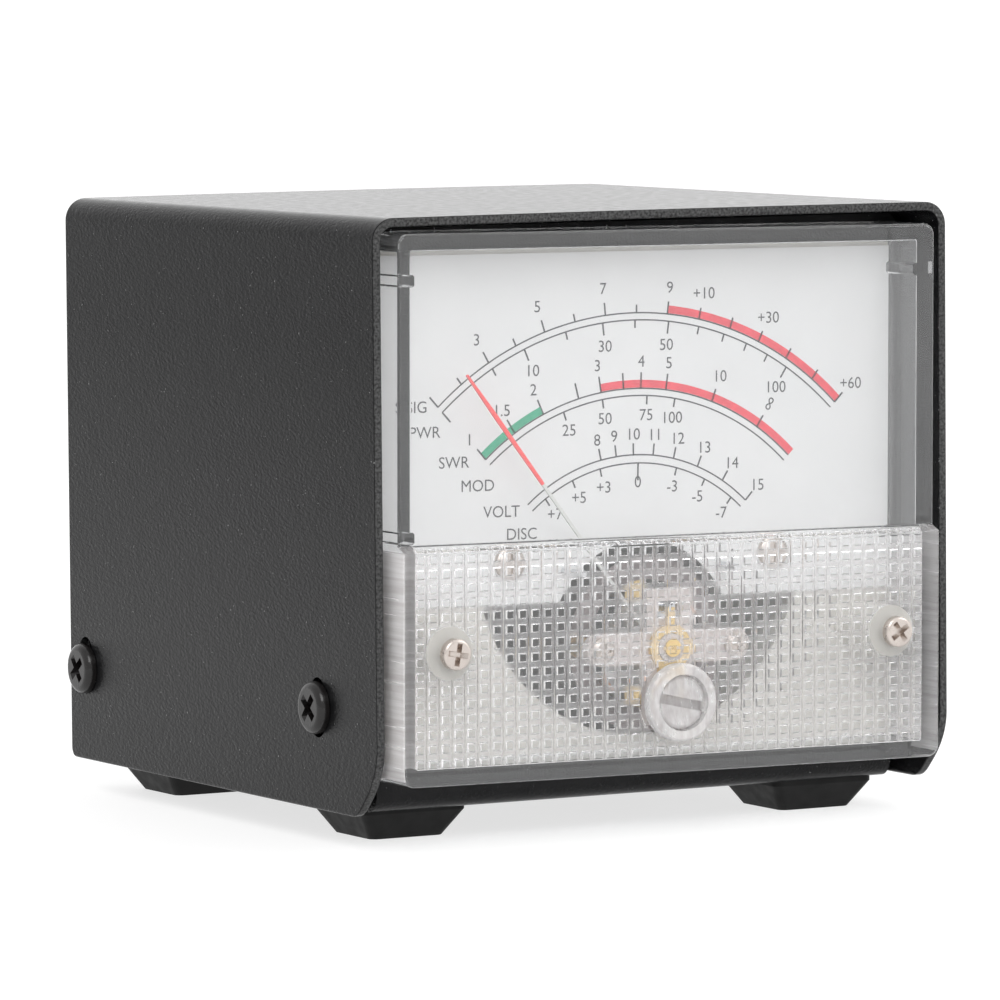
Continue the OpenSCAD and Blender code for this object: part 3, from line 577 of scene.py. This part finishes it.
def lens_side(inset, radius):
    """(x, z) up the right edge of the lens outline, moved inwards by inset, with round corners."""
    low, high = LENS_Z + inset + radius, LENS_Z + LENS_H - inset - radius
    middle = LENS_W / 2 - inset - radius
    side = []
    for k in range(7):
        a = -math.pi / 2 + math.pi / 2 * k / 6
        side.append((middle + radius * math.cos(a), low + radius * math.sin(a)))
    heights = [LENS_Z + 9, LENS_Z + 17]
    heights += [STEP_Z - 0.3 + 0.1 * k for k in range(15)]
    heights += [STEP_Z + 8, STEP_Z + 16, STEP_Z + 24]
    side += [(middle + radius, z) for z in heights]
    for k in range(7):
        a = math.pi / 2 * k / 6
        side.append((middle + radius * math.cos(a), high + radius * math.sin(a)))
    return side


def lens_skin(inset, corner, round_edge, back, depth_of):
    """Loops from the rear rim to the front of one skin of the lens."""
    loops = []
    for k in range(-1, 7):
        a = math.pi / 2 * max(k, 0) / 6
        drawn = round_edge * (1 - math.cos(a))
        side = lens_side(inset + drawn, corner - drawn)
        loop = []
        for mirror, half in ((1, side), (-1, list(reversed(side)))):
            for x, z in half:
                y = back if k < 0 else depth_of(z) + round_edge * (1 - math.sin(a))
                loop.append((mirror * x, y, z))
        loops.append(loop)
    return loops


def build_lens_shell():
    outer = lens_skin(0, LENS_CORNER, 0.5, LENS_BACK,
                      lambda z: step_profile(z, LENS_Y, WINDOW_Y, STEP_Z, STEP_RUN))
    inner = lens_skin(LENS_SIDE, 0.3, 0.2, LENS_BACK,
                      lambda z: LENS_WALL + step_profile(z, LENS_Y, WINDOW_Y, STEP_Z, STEP_RUN))
    size = len(outer[0])
    loops = list(reversed(outer)) + inner
    points = [p for loop in loops for p in loop]
    faces = loop_faces(len(loops), size)
    for start in (0, (len(loops) - 1) * size):
        for k in range(size // 2 - 1):
            faces.append((start + k, start + k + 1, start + size - 2 - k, start + size - 1 - k))
    return points, faces


def waffle_lines(start, count, beads):
    """(position, kind) across a row of pits: the edges of each pit and land, and the beads between."""
    lines = []
    for k in range(count):
        left = start + k * WAFFLE
        right = left + WAFFLE
        middle = left + WAFFLE / 2
        if beads:
            lines += [(left, "bead"), (left + BEAD / 2, "land")]
        lines += [(left + LAND / 2, "land"), (middle - PIT / 2, "pit"),
                  (middle + PIT / 2, "pit"), (right - LAND / 2, "land")]
        if beads:
            lines.append((right - BEAD / 2, "land"))
    return lines


def waffle_depth(across, upward):
    """How far the pattern stands behind the floor of its pits."""
    if across == "pit" and upward == "pit":
        return 0
    return PIT_DEPTH + (BEAD_H if across == "bead" else 0)


def waffle_plate():
    """The moulded pattern on the lens' inner face below the step: small square pits and fine beads."""
    columns, rows = 41, 15
    across = waffle_lines(-columns * WAFFLE / 2, columns, True)
    upward = waffle_lines(STEP_Z - rows * WAFFLE, rows, False)
    base = LENS_Y + LENS_WALL + 0.02
    width, height = len(across), len(upward)
    points, faces = [], []
    for z, kind_z in upward:
        for x, kind_x in across:
            points.append((x, base + waffle_depth(kind_x, kind_z), z))
    for j in range(height - 1):
        for i in range(width - 1):
            a = j * width + i
            quad = (a, a + 1, a + width + 1, a + width)
            low = [k for k in range(4) if points[quad[k]][1] == base]
            if len(low) == 1:
                k = low[0]
                faces.append((quad[k], quad[(k + 1) % 4], quad[(k + 2) % 4]))
                faces.append((quad[k], quad[(k + 2) % 4], quad[(k + 3) % 4]))
            else:
                faces.append(quad)
    border = list(range(width))
    border += [j * width + width - 1 for j in range(1, height)]
    border += [(height - 1) * width + i for i in range(width - 2, -1, -1)]
    border += [j * width for j in range(height - 2, 0, -1)]
    sunk = len(points)
    points += [(points[b][0], base - 0.4, points[b][2]) for b in border]
    for k, b in enumerate(border):
        after = (k + 1) % len(border)
        faces.append((b, border[after], sunk + after, sunk + k))
    faces.append(tuple(range(sunk, sunk + len(border))))
    return points, faces


def wall_rib(side, wall, z):
    """A bar with bevelled edges, moulded on a side wall behind the window."""
    outline = ((0.4, -0.67), (-0.4, -0.67), (-0.6, -0.47), (-0.6, 0.47), (-0.4, 0.67), (0.4, 0.67))
    points = [(side * (wall + x), y, z + dz) for y in (WINDOW_Y + 1.3, DIAL_Y - 0.2) for x, dz in outline]
    return points, loop_faces(2, 6) + [tuple(range(6)), tuple(range(6, 12))]


def frost_walls(mesh):
    """Picks the cloudy faces of the lens: its ring, the side walls beside the pattern, and the lands."""
    back = METER.inverted()
    for face in mesh.polygons:
        x, y, z = back @ face.center / MM
        beside_front = 0.05 < abs(y - LENS_Y) and y < LENS_Y + WELL_DEPTH + 0.1
        near_ring = math.hypot(x, z - ZERO_Z) < RING_R + 0.1 and beside_front
        beside = abs(face.normal.x) > 0.8 and abs(x) > LENS_W / 2 - LENS_SIDE - 0.1 and z < STEP_Z
        behind = y - LENS_Y - LENS_WALL
        at_lands = PIT_DEPTH < behind < PIT_DEPTH + BEAD_H + 0.1 and z < STEP_Z
        on_land = abs(face.normal.y) > 0.7 and at_lands
        if near_ring:
            face.material_index = 1
        elif beside:
            face.material_index = 2
        elif on_land:
            face.material_index = 3


def bore(radius, start, end, x, z, sides=64):
    """The step that cuts a round hole along Y."""
    return "DIFFERENCE", turned([(radius, start), (radius, end)], x, z, sides)


def build_lens(material, frosted, streaked, hazy):
    """The lens: a clear shell with the pattern and ribs inside it, and the adjuster's ring in front."""
    inside = LENS_Y + LENS_WALL
    wall = LENS_W / 2 - LENS_SIDE
    before, beyond = LENS_Y - CLEAR, inside + CLEAR
    steps = [("UNION", waffle_plate())]
    for side, z in ((-1, RIB_Z), (1, RIB_Z), (-1, LOW_RIB_Z)):
        steps.append(("UNION", wall_rib(side, wall, z)))
    for side in (-1, 1):
        steps.append(bore(LENS_BOSS_R, inside + 0.01, beyond, side * LENS_SCREW_X, LENS_SCREW_Z))
    steps.append(bore(RING_R, inside + 0.01, beyond, 0, ZERO_Z))
    ring = [(WELL_R + 0.55, -RING_OUT), (RING_R - 0.25, 0.07 - RING_OUT), (RING_R - 0.07, 0.2 - RING_OUT),
            (RING_R, 0.4 - RING_OUT), (RING_R, 1.0)]
    steps.append(("UNION", turned([(radius, LENS_Y + y) for radius, y in ring], 0, ZERO_Z)))
    steps.append(bore(WELL_R, before, LENS_Y + WELL_DEPTH, 0, ZERO_Z))
    steps.append(bore(STEM_R + 0.05, before, beyond, 0, ZERO_Z))
    for side in (-1, 1):
        steps.append(bore(LENS_HOLE_R, before, beyond, side * LENS_SCREW_X, LENS_SCREW_Z, 32))
    mesh = combine("clear_lens", build_lens_shell(), steps, METER)
    lens = dress(bpy.data.objects.new("clear_lens", mesh), material, "case", 22)
    for other in (frosted, streaked, hazy):
        lens.data.materials.append(other)
    frost_walls(lens.data)
    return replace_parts(lens, "lens")


def build_zero_adjuster(material):
    """The slotted screw in the lens' ring, with the eccentric pin behind it."""
    axis = Matrix.Translation((0, 0, ZERO_Z))
    outline = [(HEAD_R - 0.5, -0.9), (HEAD_R - 0.2, -0.84), (HEAD_R - 0.05, -0.7), (HEAD_R, -0.5),
               (HEAD_R, WELL_DEPTH - 0.05), (STEM_R, WELL_DEPTH - 0.05), (STEM_R, LENS_WALL + 0.4)]
    screw = moved(turned([(radius, LENS_Y + y) for radius, y in outline]), axis)
    slot = box_solid((-HEAD_R - 1, LENS_Y - CLEAR, -0.55), (HEAD_R + 1, LENS_Y, 0.55))
    pin = turned([(0.4, LENS_Y + LENS_WALL + 0.1), (0.4, BRIDGE_Y - 0.1)], 0, PIN_THROW, 24)
    steps = [("DIFFERENCE", moved(slot, axis @ Matrix.Rotation(math.radians(12), 4, "Y"))),
             ("UNION", moved(pin, axis))]
    mesh = combine("adjuster_screw", screw, steps, METER)
    adjuster = bpy.data.objects.new("adjuster_screw", mesh)
    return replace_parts(dress(adjuster, material, "zero_adjuster"), "zero_adjuster")


# ---------- dial print ----------

DIAL_CENTRE = (-0.75, 20.9)     # the print sits a little left of the pointer's axis
PRINT_TURN = 0.35               # and is turned a little on its plate, in degrees
INK = 0.02                      # thickness of the print
LINE = 0.16
LONG, SHORT = 1.4, 0.9

# Each scale: radius of its line, 1 for ticks that point outwards or -1 for inwards, the angles where its
# line ends, radius of its labels, and its marks as (angle from upright, label, tick length)
SCALES = {
    "SIG": (37.0, 1, (-43.1, 44.4), 40.0, [
        (-43.1, "", 1.55), (-37.2, "", SHORT), (-30.8, "3", LONG), (-24.8, "", SHORT), (-18.7, "5", LONG),
        (-12.5, "", SHORT), (-6.4, "7", LONG), (-0.2, "", SHORT), (6.0, "9", LONG), (12.4, "+10", 1.3),
        (18.9, "", 1.3), (25.2, "+30", 1.3), (31.6, "", 1.3), (38.1, "", 1.3), (44.4, "+60", 1.5)]),
    "PWR": (36.2, -1, (-43.1, 44.4), 33.6, [
        (-43.1, "", 1.5), (-30.7, "", SHORT), (-23.5, "10", LONG), (-14.7, "", SHORT), (-7.1, "30", LONG),
        (-0.5, "", SHORT), (6.4, "50", LONG), (12.7, "", SHORT), (18.1, "", SHORT), (23.1, "", SHORT),
        (27.9, "", SHORT), (32.5, "100", LONG)]),
    "SWR": (28.55, 1, (-42.4, 43.9), 31.6, [
        (-42.4, "1", 1.6), (-33.1, "1.5", 1.8), (-24.8, "2", 1.8), (-15.2, "", 1.8), (-9.3, "3", 1.8),
        (-3.5, "", 1.8), (1.0, "4", 1.8), (7.5, "5", 1.8), (19.9, "10", 1.5), (33.2, "inf", 1.5)]),
    "MOD": (27.75, -1, (-42.4, 43.9), 25.6, [
        (-19.8, "25", 1.0), (-9.2, "50", 1.0), (2.7, "75", 1.0), (10.2, "100", 1.0)]),
    "VOLT": (21.13, 1, (-41.1, 42.3), 23.45, [
        (-12.5, "8", 1.3), (-7.1, "9", 1.3), (-1.1, "10", 1.3), (5.8, "11", 1.3), (13.1, "12", 1.3),
        (22.0, "13", 1.3), (31.9, "14", 1.3), (42.3, "15", 1.3)]),
    "DISC": (20.2, -1, (-41.1, 42.3), 18.1, [
        (-35.2, "+7", 0.95), (-24.0, "+5", 0.9), (-13.4, "+3", 0.9), (0.6, "0", 1.95), (14.9, "-3", 0.9),
        (26.0, "-5", 0.85), (37.6, "-7", 0.9)]),
}
# Where the scales' names stand, at the left end of each scale
NAME_RADIUS = {"SIG": 38.9, "PWR": 36.25, "SWR": 31.25, "MOD": 27.25, "VOLT": 23.0, "DISC": 19.4}
NAME_ANGLE = {"SIG": -45.9, "PWR": -48.0, "SWR": -48.1, "MOD": -48.0, "VOLT": -48.4, "DISC": -49.0}


def on_dial(angle, radius):
    """(x, z) on the dial at an angle from upright, clockwise, in degrees."""
    a = math.radians(angle + PRINT_TURN)
    return DIAL_CENTRE[0] + radius * math.sin(a), DIAL_CENTRE[1] + radius * math.cos(a)


class Print:
    """Thin printed shapes of one ink, gathered into one mesh."""

    def __init__(self):
        self.points = []
        self.faces = []

    def strip(self, inner, outer):
        """A band between two lines of (x, z) points."""
        start, count = len(self.points), len(inner)
        for y in (DIAL_Y - INK, DIAL_Y):
            self.points += tilt_all((x, y, z) for x, z in inner)
            self.points += tilt_all((x, y, z) for x, z in outer)
        for k in range(count - 1):
            a, b = start + k, start + count + k
            self.faces.append((a, a + 1, b + 1, b))
            back = 2 * count
            self.faces.append((a, a + back, a + back + 1, a + 1))
            self.faces.append((b, b + 1, b + back + 1, b + back))
        for k in (0, count - 1):
            a, b = start + k, start + count + k
            self.faces.append((a, b, b + 2 * count, a + 2 * count))

    def arc(self, radius, width, start, end):
        steps = max(2, int(abs(end - start) / 1.5))
        angles = [start + (end - start) * k / steps for k in range(steps + 1)]
        self.strip([on_dial(a, radius - width / 2) for a in angles],
                   [on_dial(a, radius + width / 2) for a in angles])

    def tick(self, angle, start, end, width=0.2):
        """A mark of even width across a scale, from one radius to another."""
        half = math.degrees(width / 2 / start)
        along = Vector(on_dial(angle, end)) - Vector(on_dial(angle, start))
        left, right = (Vector(on_dial(angle + turn, start)) for turn in (-half, half))
        self.strip([left, left + along], [right, right + along])

    def text(self, words, x, z, size):
        """Upright lettering centred on (x, z)."""
        curve = bpy.data.curves.new("lettering", "FONT")
        curve.body = words
        curve.size = size
        curve.align_x, curve.align_y = "CENTER", "CENTER"
        curve.resolution_u = 4
        source = bpy.data.objects.new("lettering", curve)
        bpy.context.scene.collection.objects.link(source)
        depsgraph = bpy.context.evaluated_depsgraph_get()
        mesh = bpy.data.meshes.new_from_object(source.evaluated_get(depsgraph))
        middle = sum((max(v.co.y for v in mesh.vertices), min(v.co.y for v in mesh.vertices))) / 2
        start = len(self.points)
        self.points += tilt_all((x + v.co.x, DIAL_Y - INK, z + v.co.y - middle) for v in mesh.vertices)
        self.faces += [tuple(start + i for i in face.vertices) for face in mesh.polygons]
        bpy.data.objects.remove(source)

    def build(self, name, material):
        return piece(name, self.points, self.faces, material, "case")


def infinity_sign(ink, x, z, turn):
    """A figure of two loops, lying along the scale."""
    outline = []
    for k in range(33):
        a = 2 * math.pi * k / 32
        scale = 0.68 / (1 + math.sin(a) ** 2)
        u, v = scale * math.cos(a), 1.1 * scale * math.sin(a) * math.cos(a)
        outline.append((u, v))
    inner, outer = [], []
    for k, (u, v) in enumerate(outline):
        before, after = outline[k - 1 if k else 31], outline[k + 1 if k < 32 else 1]
        along = Vector((after[0] - before[0], after[1] - before[1])).normalized()
        for side, line in ((-1, inner), (1, outer)):
            p = Vector((u - side * 0.075 * along.y, v + side * 0.075 * along.x))
            c, s = math.cos(turn), math.sin(turn)
            line.append((x + c * p.x - s * p.y, z + s * p.x + c * p.y))
    ink.strip(inner, outer)


def build_dial_print(inks):
    black, red, green = Print(), Print(), Print()
    for name, (radius, outward, ends, label_radius, marks) in SCALES.items():
        black.arc(radius, LINE, *ends)
        for angle, label, length in marks:
            black.tick(angle, radius, radius + outward * length)
            x, z = on_dial(angle, label_radius)
            if label == "inf":
                infinity_sign(black, x, z, math.radians(60))
            elif label:
                black.text(label, x, z, LETTER)
        x, z = on_dial(NAME_ANGLE[name], NAME_RADIUS[name])
        black.text(name, x, z, LETTER)
    band = 0.85
    red.arc(SCALES["SIG"][0] + 0.1 + band / 2, band, 6.0, 44.4)
    red.arc(SCALES["SWR"][0] + 0.1 + band / 2, band, -9.3, 43.9)
    green.arc(SCALES["SWR"][0] + 0.1 + band / 2, band, -42.4, -24.8)
    black.build("dial_print_black", inks[0])
    red.build("dial_print_red", inks[1])
    green.build("dial_print_green", inks[2])


# ---------- materials of the CAD parts ----------

MATERIALS = {
    "powder_coat": powder_coat("powder_coat", 0),
    "black_screws": black_oxide(),
    "zinc_steel": metal("zinc_steel", (0.68, 0.69, 0.71), 0.32),
    "rubber": rubber(),
    "cream_plastic": moulded("cream_plastic", (0.62, 0.60, 0.56), 0.42),
    "clear_plastic": clear_plastic(),
    "nickel": metal("nickel", (0.60, 0.54, 0.50), 0.3),
    "dial_white": moulded("dial_white", (0.725, 0.722, 0.720), 0.55, change=0.012),
    "dark_steel": metal("dark_steel", (0.20, 0.17, 0.17), 0.38),
    "brass": metal("brass", (0.78, 0.58, 0.28), 0.3),
    "aluminium": metal("aluminium", (0.74, 0.75, 0.77), 0.35),
    "copper": coil_wire(),
    "pointer_red": pointer_paint(),
    "circuit_board": moulded("circuit_board", (0.03, 0.17, 0.07), 0.35),
    "lamp_white": moulded("lamp_white", (0.60, 0.54, 0.52), 0.35),
    "resistor": moulded("resistor", (0.55, 0.42, 0.26), 0.4),
    "black_plastic": moulded("black_plastic", (0.02, 0.02, 0.022), 0.4),
    "red_insulation": moulded("red_insulation", (0.55, 0.03, 0.02), 0.4),
    "yellow_insulation": moulded("yellow_insulation", (0.75, 0.50, 0.03), 0.4),
    "black_insulation": moulded("black_insulation", (0.02, 0.02, 0.02), 0.4),
}

ROUNDED = ("chassis", "meter_base", "front_bridge", "meter_jack", "meter_jack_nut", "power_jack",
           "power_jack_nut", "level_control", "level_control_nut", "level_shaft", "foot_front_left",
           "foot_front_right", "foot_rear_left", "foot_rear_right")


def paint_nodes():
    """Gives every CAD part its material, and the larger ones slightly broken edges."""
    for name, obj in NODES.items():
        obj.data.materials.clear()
        obj.data.materials.append(MATERIALS[SLOT_OF[name]])
        if name in ROUNDED:
            bevel = obj.modifiers.new("broken_edges", "BEVEL")
            bevel.width = 0.12 * MM
            bevel.segments = 2
            bevel.limit_method = "ANGLE"
            bevel.angle_limit = math.radians(40)
            bevel.harden_normals = True


# ---------- studio and camera ----------

# Name, place, size and watts of each lamp
LAMPS = (("key", (-0.7, -1.1, 1.2), 0.9, 9), ("fill", (1.1, -0.8, 0.9), 0.8, 4))
LAMP_AIM = Vector((0, 0, 0.03))
SKY_LEAN = (0.90, 0.43, 0)      # the sky is brighter towards here
SKY_LOW, SKY_HIGH = 0.92, 1.45
CAMERA_PLACE = (-0.41385, -0.7458, 0.1016)
YAW, PITCH, ROLL = math.radians(29.03), math.radians(4.48), math.radians(-0.47)
FOCAL_LENGTH = 266.1


def build_stage():
    """A wide pale floor, a studio sky that gets brighter to the right, and two soft lamps."""
    mesh = bpy.data.meshes.new("floor")
    reach = 25
    mesh.from_pydata([(-reach, -reach, 0), (reach, -reach, 0), (reach, reach, 0), (-reach, reach, 0)],
                     [], [(0, 1, 2, 3)])
    floor = bpy.data.objects.new("floor", mesh)
    bpy.context.scene.collection.objects.link(floor)
    mesh.materials.append(worn("pale_floor", (0.32, 0.32, 0.32), 0.7, change=0.004, cloud=0.4,
                               grain=2 * MM, depth=0.01 * MM, specular_ior_level=0.1,
                               emission_color=(1, 1, 1), emission_strength=0.72).material)

    world = bpy.data.worlds.new("studio")
    world.use_nodes = True
    tree = world.node_tree
    direction = tree.nodes.new("ShaderNodeTexCoord").outputs["Generated"]
    lean = tree.nodes.new("ShaderNodeVectorMath")
    lean.operation = "DOT_PRODUCT"
    lean.inputs[1].default_value = SKY_LEAN
    tree.links.new(direction, lean.inputs[0])
    strength = tree.nodes.new("ShaderNodeMapRange")
    strength.inputs["From Min"].default_value = -0.2
    strength.inputs["From Max"].default_value = 0.7
    strength.inputs["To Min"].default_value = SKY_LOW
    strength.inputs["To Max"].default_value = SKY_HIGH
    tree.links.new(lean.outputs["Value"], strength.inputs["Value"])
    tree.nodes["Background"].inputs["Color"].default_value = (1, 1, 1, 1)
    tree.links.new(strength.outputs["Result"], tree.nodes["Background"].inputs["Strength"])
    bpy.context.scene.world = world

    for name, place, size, power in LAMPS:
        data = bpy.data.lights.new(name, "AREA")
        data.size = size
        data.energy = power
        lamp = bpy.data.objects.new(name, data)
        lamp.location = place
        lamp.rotation_euler = (LAMP_AIM - Vector(place)).to_track_quat("-Z", "Y").to_euler()
        bpy.context.scene.collection.objects.link(lamp)


def build_camera():
    """The camera looks ahead along its yaw to the right and its pitch down."""
    ahead = Vector((math.sin(YAW) * math.cos(PITCH), math.cos(YAW) * math.cos(PITCH), -math.sin(PITCH)))
    level = Vector((math.cos(YAW), -math.sin(YAW), 0))
    above = level.cross(ahead)
    right = level * math.cos(ROLL) + above * math.sin(ROLL)
    up = right.cross(ahead)
    turn = Matrix((right, up, -ahead)).transposed().to_4x4()
    data = bpy.data.cameras.new("camera")
    data.sensor_width = 36
    data.lens = FOCAL_LENGTH
    data.clip_start, data.clip_end = 0.05, 100
    camera = bpy.data.objects.new("camera", data)
    camera.matrix_world = Matrix.Translation(CAMERA_PLACE) @ turn
    bpy.context.scene.collection.objects.link(camera)
    bpy.context.scene.camera = camera


# ---------- putting it together ----------

paint_nodes()
build_cover(powder_coat("cover_paint", 0.8))
build_side_screws(MATERIALS["black_screws"])
frosted = frosted_plastic("frosted_plastic", (1, 1, 0.35), 0.5 * MM, 0.55, 0.06 * MM)
streaked = frosted_plastic("streaked_plastic", (0.1, 0.03, 1), 0.45 * MM, 0.45, 0.06 * MM)
hazy = frosted_plastic("hazy_plastic", (1, 1, 1), 0.6 * MM, 0.74, 0.012 * MM)
build_lens(MATERIALS["clear_plastic"], frosted, streaked, hazy)
build_zero_adjuster(frosted)
build_lens_screws(MATERIALS["nickel"])
build_dial_print((print_ink("ink_black", (0.055, 0.055, 0.06)),
                  print_ink("ink_red", (0.78, 0.05, 0.08)),
                  print_ink("ink_green", (0.02, 0.36, 0.20))))
build_stage()
build_camera()

scene = bpy.context.scene
scene.view_settings.view_transform = "Standard"
scene.cycles.max_bounces = 16
scene.cycles.transmission_bounces = 14
scene.cycles.transparent_max_bounces = 14
scene.cycles.diffuse_bounces = 4
scene.cycles.glossy_bounces = 6
